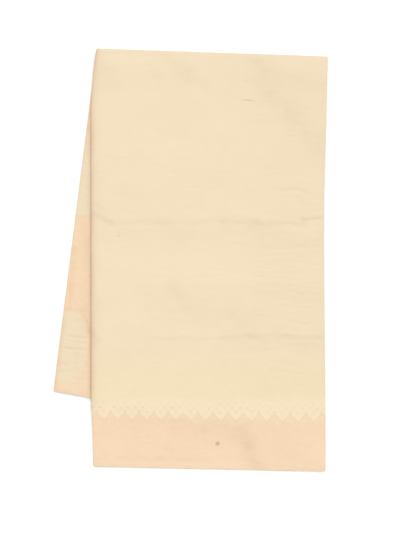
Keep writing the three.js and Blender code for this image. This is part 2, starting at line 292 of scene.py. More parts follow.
# On the part of the pallu that shows along the left
PALLU_CREASES = [
    Crease(4, 986, 17, 1013, -1.5, 2.2, 0.36),
    Crease(6, 1059, 44, 1055, 1.0, 1.6, 0.45),
    Crease(8, 1066, 40, 1064, 1.4, 1.6, 0.34),
    Crease(8, 1070, 30, 1069, 1.0, 1.6, 0.30),
    Crease(5, 1076, 46, 1073, 2.0, 1.9, 0.80),
    Crease(20, 1083, 47, 1078, 1.0, 1.6, 0.42),
    Crease(22, 1088, 48, 1083, -1.2, 1.7, 0.48),
    Crease(10, 1088, 26, 1091, 1.0, 1.6, 0.30),
    Crease(6, 1099, 18, 1099, 3.0, 1.8, 0.42),
    Crease(4, 1036, 44, 1031, 1.0, 2.6, 0.16),
    Crease(1, 900, 26, 916, -1.0, 2.4, 0.20),
    Crease(0, 772, 12, 766, 0.5, 2.0, 0.20),
    Crease(0, 842, 20, 846, 0.5, 2.2, 0.16),
    Crease(10, 1122, 54, 1118, 1.0, 3.0, 0.16),
]

# On the sides that lie down
UNDER_CREASES = [
    Crease(4, 240, 338, 246, 3.0, 5.0, 0.30),
    Crease(40, 420, 300, 412, -4.0, 5.0, 0.24),
    Crease(60, 80, 180, 96, 3.0, 5.0, 0.18),
    Crease(4, 900, 338, 894, -3.0, 5.0, 0.26),
    Crease(120, 1030, 330, 1040, 3.0, 5.0, 0.20),
    Crease(220, 700, 250, 800, 5.0, 7.0, 0.22),
]


def scattered(count, seed, low, high, width, depth, reach=(7.0, 26.0)):
    """Short fine wrinkles, nearly all across the strip, between two corners (u, v)."""
    random = np.random.default_rng(seed)
    wrinkles = []
    for _ in range(count):
        u = random.uniform(low[0], high[0])
        v = random.uniform(low[1], high[1])
        half = random.uniform(*reach)
        slope = random.normal(0.0, 0.09) * half
        bow = random.normal(0.0, 1.0)
        size = random.uniform(*width)
        press = random.uniform(*depth) * random.choice([1.0, 1.0, -0.6])
        wrinkles.append(Crease(u - half, v - slope, u + half, v + slope, bow, size, press))
    return wrinkles


def puckered(count, seed, low, high):
    """A small patch of very fine, close wrinkles between two corners (u, v)."""
    return scattered(count, seed, low, high, (1.4, 1.9), (0.12, 0.26), (4.0, 9.0))


FINE_WRINKLES = (
    scattered(100, 11, (246, 96), (334, 412), (1.8, 2.6), (0.08, 0.20))
    + scattered(46, 12, (240, 412), (334, 590), (1.8, 2.8), (0.07, 0.16))
    + scattered(46, 13, (24, 90), (250, 360), (2.0, 3.2), (0.04, 0.09))
    + scattered(24, 14, (14, 360), (120, 560), (2.0, 3.2), (0.03, 0.08))
    + puckered(26, 16, (304, 286), (334, 350))
    + puckered(16, 17, (252, 292), (278, 322))
    + puckered(8, 18, (234, 284), (254, 300))
    + puckered(8, 19, (246, 205), (258, 250))
    + puckered(14, 20, (290, 255), (334, 280))
)
PALLU_WRINKLES = scattered(26, 15, (4, 980), (48, 1120), (1.8, 2.6), (0.08, 0.18))


def by_line(line, u, v):
    """How places lie by a line: the share of the way along it, the distance to its side, and its length."""
    along_u, along_v = line.u1 - line.u0, line.v1 - line.v0
    length = math.hypot(along_u, along_v)
    share = ((u - line.u0) * along_u + (v - line.v0) * along_v) / length**2
    side = ((v - line.v0) * along_u - (u - line.u0) * along_v) / length
    return share, side, length


def creased(creases, u, v):
    """How far the creases sink the cloth at each place: a soft trough with low lips, fading at both ends."""
    sunk = np.zeros(np.broadcast(u, v).shape)
    for c in creases:
        share, side, length = by_line(c, u, v)
        held = np.clip(share, 0.0, 1.0)
        wander = c.bow * np.sin(np.pi * held) + 0.3 * c.width * np.sin(0.11 * length * held + c.v0)
        away = np.hypot(side - wander, (share - held) * length) / c.width
        strength = ease(held / 0.18 + 0.1) * ease((1 - held) / 0.18 + 0.1)
        strength = strength * (0.8 + 0.2 * np.sin(0.21 * length * held + c.u0))
        trough = np.exp(-(away**2)) - 0.3 * np.exp(-(((away - 2.0) / 0.8) ** 2))
        sunk += c.depth * strength * trough
    return sunk


# A darker streak or patch round a line, as dark as its strength; the tables below hold painted shade and soil
Stroke = namedtuple("Stroke", "u0 v0 u1 v1 width strength")

# Painted shade along the upper storage crease of the front fall and the creases near it, darkening where they
# sink
UPPER_CREASE_SHADE = [
    Stroke(2, 389, 22, 373, 3.5, 0.16),
    Stroke(2, 372, 31, 359, 4.0, 0.20),
    Stroke(25, 361, 102, 361, 6.0, 0.08),
    Stroke(102, 361, 197, 364, 7.0, 0.09),
    Stroke(193, 368, 243, 366, 5.0, 0.14),
    Stroke(237, 365, 311, 365, 7.0, 0.15),
    Stroke(311, 373, 341, 377, 2.6, 0.34),
    Stroke(43, 347, 340, 347, 9.0, 0.05),
    Stroke(183, 333, 234, 333, 4.0, 0.08),
    Stroke(252, 332, 340, 336, 6.0, 0.07),
    Stroke(260, 416, 310, 419, 2.5, 0.08),
    Stroke(307, 417, 341, 406, 2.5, 0.11),
]
# Painted shade along the lower storage crease, the creases near it and a pucker at the left fold
LOWER_CREASE_SHADE = [
    Stroke(82, 190, 197, 193, 4.0, 0.08),
    Stroke(192, 195, 230, 196, 6.0, 0.14),
    Stroke(240, 197, 300, 198, 7.0, 0.19),
    Stroke(310, 197, 340, 198, 5.5, 0.13),
    Stroke(233, 181, 339, 184, 5.0, 0.05),
    Stroke(269, 160, 306, 159, 3.5, 0.06),
    Stroke(306, 129, 323, 118, 9.0, 0.06),
    Stroke(5, 194, 11, 188, 4.5, 0.24),
    Stroke(2, 206, 3, 178, 3.0, 0.17),
]
# Painted shade in the soft hollows and creases slanting down from the roll, and across the middle
SLANTING_HOLLOW_SHADE = [
    Stroke(234, 616, 249, 586, 9.0, 0.10),
    Stroke(249, 586, 262, 552, 13.0, 0.12),
    Stroke(262, 552, 293, 526, 13.0, 0.09),
    Stroke(293, 522, 338, 482, 20.0, 0.13),
    Stroke(98, 612, 139, 579, 10.0, 0.11),
    Stroke(138, 589, 166, 570, 11.0, 0.07),
    Stroke(13, 603, 35, 559, 8.0, 0.06),
    Stroke(81, 599, 95, 579, 6.0, 0.06),
    Stroke(192, 606, 336, 552, 34.0, 0.05),
    Stroke(116, 272, 140, 241, 8.0, 0.09),
    Stroke(87, 248, 233, 225, 22.0, 0.04),
    Stroke(207, 233, 219, 213, 5.0, 0.06),
    Stroke(251, 267, 339, 255, 9.0, 0.05),
]
# Painted shade along the border's creases, with darker patches and a darker band under the teeth
BORDER_SHADE_AND_SOIL = [
    Stroke(14, 67, 335, 68, 10.0, 0.06),
    Stroke(218, 58, 227, 36, 10.0, 0.21),
    Stroke(229, 33, 243, -2, 10.5, 0.27),
    Stroke(38, 14, 102, 15, 4.0, 0.12),
    Stroke(96, 12, 167, 12, 4.0, 0.13),
    Stroke(107, 30, 117, 27, 4.5, 0.14),
    Stroke(4, 10, 9, 6, 4.5, 0.14),
    Stroke(9, 28, 20, 7, 6.0, 0.07),
    Stroke(4, 51, 18, 49, 6.0, 0.06),
    Stroke(42, 70, 130, 73, 3.5, 0.06),
    Stroke(126, 64, 226, 62, 13.0, 0.12),
    Stroke(254, 60, 335, 62, 10.0, 0.05),
    Stroke(47, 42, 52, 14, 5.0, 0.05),
]
# Painted shade along the pallu's creases, its left fold and beside the upper fall, with darker patches
PALLU_SHADE_AND_SOIL = [
    Stroke(0, 690, 5, 743, 5.0, 0.30),
    Stroke(2, 746, 7, 779, 5.0, 0.16),
    Stroke(1, 1018, 22, 1015, 3.0, 0.19),
    Stroke(27, 1018, 41, 1044, 5.5, 0.26),
    Stroke(12, 884, 21, 922, 5.0, 0.10),
    Stroke(21, 922, 37, 1045, 6.0, 0.12),
    Stroke(13, 923, 22, 1002, 12.0, 0.06),
    Stroke(4, 948, 5, 986, 1.7, 0.22),
    Stroke(6, 991, 15, 1010, 2.4, 0.20),
    Stroke(3, 1038, 3, 1102, 1.8, 0.16),
    Stroke(7, 1076, 44, 1073, 2.0, 0.14),
    Stroke(22, 1088, 48, 1083, 2.0, 0.09),
    Stroke(6, 1059, 44, 1055, 2.0, 0.09),
    Stroke(8, 1099, 16, 1099, 2.0, 0.12),
]
FALL_SHADE = 0.31  # painted shadow on the pallu close beside the upper fall's fold
FALL_SHADE_RUN = 2.7
PALE_BAND_V = 293.0  # where the front fall is palest
PALE_BAND_SPREAD = 24.0
# Orange streaks inside the pallu's fold
PALLU_BLUSH = [
    Stroke(5, 924, 8, 989, 3.5, 0.60),
    Stroke(5, 984, 8, 1013, 3.5, 0.70),
    Stroke(2, 1030, 2, 1136, 3.2, 0.42),
    Stroke(11, 878, 16, 913, 7.0, 0.25),
]


def cloud(u, v, across, along, seed):
    """Slow noise from -1 to 1, in grains of about across by along millimetres."""
    wide, long = 32, 128
    lattice = np.random.default_rng(seed).uniform(-1.0, 1.0, (wide, long))
    a, b = u / across + 8.0, v / along + 8.0
    i, j = np.floor(a).astype(int), np.floor(b).astype(int)
    s, t = ease(a - i), ease(b - j)
    near = lerp(lattice[i % wide, j % long], lattice[(i + 1) % wide, j % long], s)
    far = lerp(lattice[i % wide, (j + 1) % long], lattice[(i + 1) % wide, (j + 1) % long], s)
    return lerp(near, far, t)


def streaked(strokes, u, v):
    """How strongly the strokes mark the cloth at each place, with uneven edges and breaks."""
    pale = np.ones(u.shape)
    drift = cloud(u, v, 26.0, 24.0, 31)
    swell = 1.0 + 0.3 * cloud(u, v, 17.0, 9.0, 32)
    patchy = 0.88 + 0.28 * cloud(u, v, 15.0, 7.0, 33)
    for s in strokes:
        share, side, length = by_line(s, u, v)
        held = np.clip(share, 0.0, 1.0)
        away = np.hypot(side + 0.35 * s.width * drift, (share - held) * length) / (s.width * swell)
        pale = pale * (1.0 - s.strength * patchy * np.exp(-(away**2)))
    return 1.0 - pale


def front_tones(u, v):
    """Soil and painted shade of the front fall: palest in a band across its middle, painted shade along its
    creases, hollows, right side and hem, and a pink painted shade along its left fold.
    """
    even = 0.05 + 0.03 * cloud(u, v, 64.0, 24.0, 41) + 0.02 * cloud(u, v, 23.0, 9.0, 42)
    even = even + 0.05 * ease((u - 130.0) / 200.0)
    pale = np.exp(-(((v - PALE_BAND_V) / PALE_BAND_SPREAD) ** 2))
    even = even - 0.05 * pale * (1 - ease((u - 220.0) / 100.0))
    below = BORDER + temple_line(u) - v
    even = even + np.where(below > -0.1, 0.12 * np.exp(-((below / 3.2) ** 2)), 0.0)
    # painted shade along the right fold and along the front hem
    even = even + 0.07 * np.exp(-(STRIP - u) / 2.5) + 0.05 * np.exp(-v / 2.0)
    strokes = UPPER_CREASE_SHADE + LOWER_CREASE_SHADE + SLANTING_HOLLOW_SHADE + BORDER_SHADE_AND_SOIL
    soil = 1.0 - (1.0 - np.maximum(even, 0.0)) * (1.0 - streaked(strokes, u, v))
    # painted shade, pinkish, where the left fold rounds down
    blush = 1.3 * np.exp(-u / 3.5) * ease((v - 60.0) / 60.0) * (0.9 + 0.3 * cloud(u, v, 12.0, 30.0, 43))
    return soil, np.minimum(blush, 1.0)


def pallu_tones(u, v):
    """Soil and painted shade of the pallu, and its orange streaks: a painted shadow close beside the upper
    fall, and painted shade along its creases, fold and back hem.
    """
    even = 0.11 + 0.025 * cloud(u, v, 30.0, 24.0, 44) + 0.02 * cloud(u, v, 12.0, 9.0, 45)
    beside = FRONT_SIDE_X - strip(u, v, 0.0)[..., 0]
    # painted shadow of the upper fall's fold on the pallu beside it
    even = even + FALL_SHADE * np.exp(-np.maximum(beside, 0.0) / FALL_SHADE_RUN)
    # painted shade along the back hem
    even = even + 0.14 * np.exp(-np.maximum(BACK_HEM - v, 0.0) / 2.0)
    return 1.0 - (1.0 - even) * (1.0 - streaked(PALLU_SHADE_AND_SOIL, u, v)), streaked(PALLU_BLUSH, u, v)


def plain_tones(u, v):
    """Soil of the sides that lie out of sight."""
    even = 0.06 + 0.03 * cloud(u, v, 60.0, 30.0, 46) + 0.05 * ease((u - 130.0) / 200.0)
    return even, np.zeros(u.shape)


def slack(u, v):
    """The low, uneven swell of a ply that lies loosely on the others."""
    swell = np.sin(0.051 * u + 0.013 * v + 0.4) * np.sin(0.0231 * v + 0.011 * u)
    return swell + 0.6 * np.sin(0.033 * v - 0.042 * u + 1.3) * np.sin(0.017 * u + 0.7)


def front_relief(u, v):
    """How far the top ply of the front fall stands off the plies under it."""
    sides = ease(u / PILLOW_EDGE) * ease((STRIP - u) / PILLOW_EDGE)
    ends = ease(v / PILLOW_EDGE) * ease((FRONT_RUN - v) / PILLOW_EDGE)
    rim = ease(u / 5.0) * ease((STRIP - u) / 4.0) * ease(v / 5.0) * ease((FRONT_RUN - v) / 12.0)
    creases = STORAGE_CREASES + FAINT_CREASES + SOFT_HOLLOWS + BORDER_CREASES + FINE_WRINKLES
    swell = PILLOW * sides * ends * (0.86 + 0.12 * slack(u, v))
    return np.maximum(swell + 0.25 * rim - rim * creased(creases, u, v), 0.0)


def pallu_relief(u, v):
    """The same for the pallu on top of the back fall, where it shows."""
    down = np.clip((v - BACK_START) / BACK_RUN, 0.0, 1.0)
    shown = ease((52.0 * down + 6.0 - u) / 12.0)
    rim = ease((u - 0.5) / 5.0) * ease((BACK_HEM - v) / 8.0) * ease((v - BACK_START) / 30.0) * shown
    return np.maximum(rim * (0.45 + 0.1 * slack(u, v) - creased(PALLU_CREASES + PALLU_WRINKLES, u, v)), 0.0)


def under_relief(u, v):
    """Creases of the plies that lie face down, which lift them off the ground a little."""
    rim = ease((u - 1.0) / 8.0) * ease((STRIP - u) / 10.0) * ease(v / 8.0) * ease((BACK_HEM - v) / 8.0)
    away_from_roll = ease(np.abs(v - 0.5 * (FRONT_RUN + BACK_START)) / 30.0 - 0.5)
    return 0.5 * rim * away_from_roll * np.maximum(creased(UNDER_CREASES, u, v), 0.0)


# ---------------------------------------------------------------- cutting the stretches


def steps(start, end, spacing):
    """Evenly spaced values from start to end, both kept."""
    count = max(1, int(math.ceil(abs(end - start) / spacing)))
    return np.linspace(start, end, count + 1)


def bend(centre_u, centre_n, radius, start, end, count):
    """An arc of the section, in degrees, as points (u, n)."""
    angle = np.radians(np.linspace(start, end, count + 1))
    return np.stack([centre_u + radius * np.cos(angle), centre_n + radius * np.sin(angle)], axis=1)


def level(us, n):
    """A level run of the section, as points (u, n)."""
    return np.stack([us, np.full(len(us), n)], axis=1)


def fine_across(spacing):
    """Places across the strip that keep to the tips and valleys of the temple line."""
    marks = tooth_u(np.arange(-0.5, TEETH, 0.5))
    share = max(1, round(0.5 * TOOTH_PITCH / spacing))
    fine = [lerp(a, b, k / share) for a, b in zip(marks[:-1], marks[1:]) for k in range(share)]
    return np.array([*fine, marks[-1]])


def field_section(across):
    """The field ply: up round the left fold, over the top, and round the right fold to the middle."""
    half, quarter = STACK / 2, STACK / 4
    left = bend(half, half, half - SILK / 2, 180, 90, 8)
    right = bend(STRIP - quarter, 3 * quarter, quarter - SILK / 2, 90, -84, 10)
    return np.concatenate([left, level(across, STACK - SILK / 2), right])


def pallu_section(across):
    """The pallu ply: down round the left fold and across to its cut end."""
    half = STACK / 2
    left = bend(half, half, half - SILK / 2, 180, 270, 8)
    cut_end = level(np.array([STRIP - PALLU_CUT_INSET]), SILK / 2)
    return np.concatenate([left, level(across, SILK / 2), cut_end])


# The order in which the hidden plies follow each other from fold to fold, counted from the pallu side
HIDDEN_ORDER = [8, 7, 4, 11, 12, 3, 2, 13, 10, 5, 6, 9, 14, 1]
HIDDEN_ACROSS = [14, 60, 130, 200, 255, 275, 290, 303, 315, 326]


def ply_level(ply):
    return (ply + 0.5) * PLY


def hidden_section():
    """The fourteen hidden plies as one path, folded to and fro between the two sides."""
    path = []
    rightwards = False
    for here, after in zip(HIDDEN_ORDER, [*HIDDEN_ORDER[1:], None]):
        across = np.array(HIDDEN_ACROSS if rightwards else HIDDEN_ACROSS[::-1], float)
        path.append(level(across, ply_level(here)))
        rightwards = not rightwards
        if after is None:
            path.append(level(np.array([STRIP - INNER_CUT_INSET]), ply_level(here)))
            continue
        middle = 0.5 * (ply_level(here) + ply_level(after))
        radius = 0.5 * abs(ply_level(here) - ply_level(after))
        at_left = rightwards
        start = 90 if here > after else -90
        if at_left:
            centre = STACK / 2 + 0.2 * math.sin(here)
            path.append(bend(centre, middle, radius, start, start + math.copysign(180, start), 6))
        else:
            inset = max(radius, 0.3) + 0.5 * (1 + math.sin(2.1 * here))
            path.append(bend(STRIP - inset, middle, radius, start, start - math.copysign(180, start), 6))
    return np.concatenate(path)


def lengths_along(section):
    """Distance along the cloth at each point of a section."""
    return np.concatenate([[0.0], np.cumsum(np.hypot(*np.diff(section, axis=0).T))])


def normals_of(points):
    """Unit normals of a grid of points."""
    across, along = np.gradient(points, axis=0), np.gradient(points, axis=1)
    normal = np.cross(across, along)
    return normal / np.maximum(np.linalg.norm(normal, axis=-1, keepdims=True), 1e-9)


def shell_faces(cols, rows):
    """Quads of a closed shell: an upper grid, a lower grid turned over, and the four rims."""
    lower = cols * rows
    i, j = np.meshgrid(np.arange(cols - 1), np.arange(rows - 1), indexing="ij")
    a = (i * rows + j).ravel()
    upper = np.stack([a, a + rows, a + rows + 1, a + 1], axis=1)
    faces = [upper, upper[:, ::-1] + lower]
    j, i = np.arange(rows - 1), np.arange(cols - 1) * rows
    last_col, last_row = (cols - 1) * rows, rows - 1
    faces.append(np.stack([j, j + 1, j + 1 + lower, j + lower], axis=1))
    k = j + last_col
    faces.append(np.stack([k, k + lower, k + 1 + lower, k + 1], axis=1))
    faces.append(np.stack([i, i + lower, i + rows + lower, i + rows], axis=1))
    faces.append(np.stack([i, i + rows, i + rows + lower, i + lower], axis=1) + last_row)
    return np.concatenate(faces)


def silk_shell(name, section, rows, row_v=None, relief=None, hem_shift=None, tones=plain_tones, thick=SILK):
    """A thin closed shell of silk through a section (u, n) and rows of v, with cloth coordinates as UVs.

    row_v(u) gives each row's v where the rows aren't straight, relief(u, v) lifts the ply, hem_shift(s, v)
    slides it along the strip, and tones(u, v) gives its soil and painted shade, and its blush and painted
    fold shade.
    """
    u, n = section[:, 0][:, None], section[:, 1][:, None]
    s = np.broadcast_to(lengths_along(section)[:, None], (len(section), len(rows)))
    v = np.broadcast_to(rows[None, :], s.shape) if row_v is None else row_v(u)
    laid = v if hem_shift is None else v + hem_shift(s, v)
    points = strip(u, laid, n)
    if relief is not None:
        points[..., 2] += relief(np.broadcast_to(u, s.shape), v)
    offset = normals_of(points) * thick / 2
    places = np.concatenate([(points + offset).reshape(-1, 3), (points - offset).reshape(-1, 3)]) * MM

    mesh = bpy.data.meshes.new(name)
    mesh.from_pydata(places.tolist(), [], shell_faces(*s.shape).tolist())
    corner = np.zeros(len(mesh.loops), np.int32)
    mesh.loops.foreach_get("vertex_index", corner)
    wide = np.broadcast_to(u, s.shape)
    over_line = (v - border_height(wide)) / TOOTH_HEIGHT
    maps = {"cloth": (wide, v), "temple": (tooth_index(wide), over_line)}
    for label, (first, second) in maps.items():
        flat = np.stack([first.ravel(), second.ravel()], axis=1)
        layer = mesh.uv_layers.new(name=label)
        layer.data.foreach_set("uv", np.concatenate([flat, flat])[corner].ravel())
    for label, values in zip(("soil", "blush"), tones(wide, v)):
        layer = mesh.attributes.new(label, "FLOAT", "POINT")
        layer.data.foreach_set("value", np.concatenate([values.ravel(), values.ravel()]).astype(np.float32))
    mesh.polygons.foreach_set("use_smooth", np.ones(len(mesh.polygons), bool))
    mesh.set_sharp_from_angle(angle=math.radians(50))
    mesh.update()
    piece = bpy.data.objects.new(name, mesh)
    bpy.context.scene.collection.objects.link(piece)
    return piece


# ---------------------------------------------------------------- shader building


def linear(red, green, blue):
    """A colour given as screen values from 0 to 255, as the light values that a shader takes."""
    values = [channel / 255 for channel in (red, green, blue)]
    return tuple(c / 12.92 if c <= 0.04045 else ((c + 0.055) / 1.055) ** 2.4 for c in values) + (1.0,)


def feed(tree, socket, value):
    """Gives an input its value, which may be another node's output."""
    if isinstance(value, bpy.types.NodeSocket):
        tree.links.new(value, socket)
    else:
        socket.default_value = value


def add(tree, kind, inputs=None, **settings):
    """A node with its settings and inputs."""
    made = tree.nodes.new(kind)
    for name, value in settings.items():
        setattr(made, name, value)
    for name, value in (inputs or {}).items():
        feed(tree, made.inputs[name], value)
    return made


def calc(tree, operation, *values):
    """The output of a Math node."""
    made = tree.nodes.new("ShaderNodeMath")
    made.operation = operation
    for slot, value in enumerate(values):
        feed(tree, made.inputs[slot], value)
    return made.outputs[0]


def blend_colour(tree, share, first, second, mode="MIX"):
    """The output of a colour Mix node."""
    made = tree.nodes.new("ShaderNodeMix")
    made.data_type = "RGBA"
    made.blend_type = mode
    for slot, value in ((0, share), (6, first), (7, second)):
        feed(tree, made.inputs[slot], value)
    return made.outputs[2]


def smooth(tree, value, low, high):
    """0 below low, 1 above high, eased between."""
    made = add(tree, "ShaderNodeMapRange", {"Value": value, "From Min": low, "From Max": high})
    made.interpolation_type = "SMOOTHSTEP"
    return made.outputs["Result"]


def flipped(tree, share):
    """1 less the share."""
    return calc(tree, "SUBTRACT", 1.0, share)


def speckle(tree, vector, stretch, detail, offset=(0, 0, 0)):
    """Soft noise on the cloth's coordinates, around 0.5, stretched along them."""
    placed = add(tree, "ShaderNodeMapping", {"Vector": vector, "Location": offset, "Scale": stretch})
    inputs = {"Vector": placed.outputs[0], "Scale": 1.0, "Detail": detail, "Roughness": 0.55}
    return add(tree, "ShaderNodeTexNoise", inputs, noise_dimensions="2D").outputs["Fac"]


def new_group(name, inputs, outputs):
    """A shader group with named sockets; returns it with its input and output nodes."""
    tree = bpy.data.node_groups.new(name, "ShaderNodeTree")
    for label, kind, default in inputs:
        socket = tree.interface.new_socket(name=label, in_out="INPUT", socket_type=kind)
        if default is not None:
            socket.default_value = default
    for label, kind in outputs:
        tree.interface.new_socket(name=label, in_out="OUTPUT", socket_type=kind)
    return tree, tree.nodes.new("NodeGroupInput"), tree.nodes.new("NodeGroupOutput")


FLOAT, VECTOR = "NodeSocketFloat", "NodeSocketVector"


def make_silk_weave():
    """Plain weave with uneven threads: long slubs across the strip, fine ones along it, faint mottling."""
    inputs = [
        ("Cloth", VECTOR, None),
        ("Thread Pitch", FLOAT, 0.6),
        ("Slub", FLOAT, 1.0),
        ("Mottle", FLOAT, 0.3),
    ]
    outputs = [("Tone", FLOAT), ("Height", FLOAT)]
    tree, given, result = new_group("silk_weave", inputs, outputs)
    cloth, pitch, slub = (given.outputs[name] for name in ("Cloth", "Thread Pitch", "Slub"))
    parts = add(tree, "ShaderNodeSeparateXYZ", {"Vector": cloth})
    turns = calc(tree, "DIVIDE", math.pi, pitch)
    over = calc(tree, "SINE", calc(tree, "MULTIPLY", parts.outputs["X"], turns))
    under = calc(tree, "SINE", calc(tree, "MULTIPLY", parts.outputs["Y"], turns))
    crossing = calc(tree, "MULTIPLY_ADD", calc(tree, "MULTIPLY", over, under), 0.5, 0.5)

    long_slubs = speckle(tree, cloth, (0.018, 0.9, 1.0), 3.0)
    fine_slubs = speckle(tree, cloth, (0.05, 2.6, 1.0), 2.0, (7.3, 2.1, 0.0))
    cross_slubs = speckle(tree, cloth, (1.1, 0.02, 1.0), 3.0, (3.1, 5.7, 0.0))
    cloudy = speckle(tree, cloth, (0.03, 0.045, 1.0), 4.0, (1.7, 9.2, 0.0))
    mixed = calc(tree, "MULTIPLY_ADD", long_slubs, 0.34, calc(tree, "MULTIPLY", fine_slubs, 0.16))
    mixed = calc(tree, "MULTIPLY_ADD", cross_slubs, 0.24, mixed)
    mixed = calc(tree, "MULTIPLY_ADD", cloudy, 0.26, mixed)
    centred = calc(tree, "SUBTRACT", mixed, 0.5)
    mottles = speckle(tree, cloth, (0.09, 0.2, 1.0), 2.0, (5.9, 3.4, 0.0))
    mottled = calc(tree, "MULTIPLY", calc(tree, "SUBTRACT", mottles, 0.5), given.outputs["Mottle"])
    tone = calc(tree, "ADD", calc(tree, "MULTIPLY_ADD", centred, slub, 0.5), mottled)
    raised = calc(tree, "MULTIPLY_ADD", long_slubs, 0.5, calc(tree, "MULTIPLY", cross_slubs, 0.35))
    height = calc(tree, "MULTIPLY_ADD", crossing, 0.35, raised)
    tree.links.new(tone, result.inputs["Tone"])
    tree.links.new(height, result.inputs["Height"])
    return tree


def make_crinkle():
    """Fine pressed crinkle across the strip, in patches; Rightwards gathers it at the right side."""
    inputs = [("Cloth", VECTOR, None), ("Rightwards", FLOAT, 1.0)]
    tree, given, result = new_group("fine_crinkle", inputs, [("Height", FLOAT)])
    cloth = given.outputs["Cloth"]
    lines = speckle(tree, cloth, (0.035, 0.42, 1.0), 2.0, (11.0, 4.0, 0.0))
    sharp = calc(tree, "ABSOLUTE", calc(tree, "SUBTRACT", lines, 0.5))
    patches = smooth(tree, speckle(tree, cloth, (0.016, 0.02, 1.0), 1.0, (2.0, 8.0, 0.0)), 0.42, 0.62)
    parts = add(tree, "ShaderNodeSeparateXYZ", {"Vector": cloth})
    right = smooth(tree, parts.outputs["X"], 150.0, 320.0)
    share = calc(tree, "MULTIPLY_ADD", right, given.outputs["Rightwards"], 0.3)
    ridges = calc(tree, "MULTIPLY", calc(tree, "SUBTRACT", 0.5, sharp), patches)
    tree.links.new(calc(tree, "MULTIPLY", ridges, share), result.inputs["Height"])
    return tree


def make_soft_spot():
    """A soft-edged oval patch of the cloth, 1 inside and 0 outside."""
    inputs = [
        ("Cloth", VECTOR, None),
        ("Centre", VECTOR, None),
        ("Half Width", FLOAT, 10.0),
        ("Half Length", FLOAT, 10.0),
        ("Turn", FLOAT, 0.0),
        ("Softness", FLOAT, 0.6),
    ]
    tree, given, result = new_group("soft_spot", inputs, [("Mask", FLOAT)])
    away = add(tree, "ShaderNodeVectorMath", {0: given.outputs["Cloth"], 1: given.outputs["Centre"]})
    away.operation = "SUBTRACT"
    turned = add(tree, "ShaderNodeVectorRotate", {"Vector": away.outputs[0], "Angle": given.outputs["Turn"]})
    turned.rotation_type = "Z_AXIS"
    parts = add(tree, "ShaderNodeSeparateXYZ", {"Vector": turned.outputs[0]})
    wide = calc(tree, "DIVIDE", parts.outputs["X"], given.outputs["Half Width"])
    long = calc(tree, "DIVIDE", parts.outputs["Y"], given.outputs["Half Length"])
    squares = calc(tree, "ADD", calc(tree, "MULTIPLY", wide, wide), calc(tree, "MULTIPLY", long, long))
    reach = calc(tree, "SQRT", squares)
    inner = flipped(tree, given.outputs["Softness"])
    outer = calc(tree, "ADD", 1.0, given.outputs["Softness"])
    mask = flipped(tree, smooth(tree, reach, inner, outer))
    tree.links.new(mask, result.inputs["Mask"])
    return tree


# Rows of eyelets: (height over the temple line in tooth heights, shift in teeth, size, strength)
EYELET_ROWS = [(0.55, 0.0, 0.2, 0.52), (0.98, 0.25, 0.2, 0.48), (1.42, 0.0, 0.18, 0.34)]
EYELET_EDGE = 0.24


def make_temple_lattice():
    """The woven band over the temple line: rows of small eyelets half a tooth apart, above the teeth.

    Temple's X counts teeth, whole at a tip, and its Y tooth heights from the middle of the line. Band is the
    paler weave, Halo the straw tint that fades out above it, and Tips the ends of the teeth.
    """
    inputs = [("Temple", VECTOR, None)]
    outputs = [("Band", FLOAT), ("Halo", FLOAT), ("Tips", FLOAT), ("Eyelets", FLOAT)]
    tree, given, result = new_group("temple_lattice", inputs, outputs)
    parts = add(tree, "ShaderNodeSeparateXYZ", {"Vector": given.outputs["Temple"]})
    tooth, rise = parts.outputs["X"], parts.outputs["Y"]
    eyelets = None
    uneven = smooth(tree, speckle(tree, given.outputs["Temple"], (1.7, 1.9, 1.0), 1.0), 0.25, 0.6)
    for row, shift, size, strength in EYELET_ROWS:
        doubled = calc(tree, "MULTIPLY", calc(tree, "ADD", tooth, shift), 2.0)
        off_side = calc(tree, "SUBTRACT", calc(tree, "FRACT", calc(tree, "ADD", doubled, 0.5)), 0.5)
        off_row = calc(tree, "MULTIPLY", calc(tree, "SUBTRACT", rise, row), 1.1)
        reach = calc(tree, "ADD", calc(tree, "ABSOLUTE", off_side), calc(tree, "ABSOLUTE", off_row))
        inside = flipped(tree, smooth(tree, reach, size, size + EYELET_EDGE))
        dot = calc(tree, "MULTIPLY", inside, strength)
        eyelets = dot if eyelets is None else calc(tree, "MAXIMUM", eyelets, dot)
    for label, full, none in (("Band", 1.3, 2.6), ("Halo", 2.4, 8.0), ("Tips", -0.5, 0.1)):
        tree.links.new(flipped(tree, smooth(tree, rise, full, none)), result.inputs[label])
    tree.links.new(calc(tree, "MULTIPLY", eyelets, uneven), result.inputs["Eyelets"])
    return tree


LATTICE_TURN = 0.9  # of the lattice inside an oval, in radians a millimetre


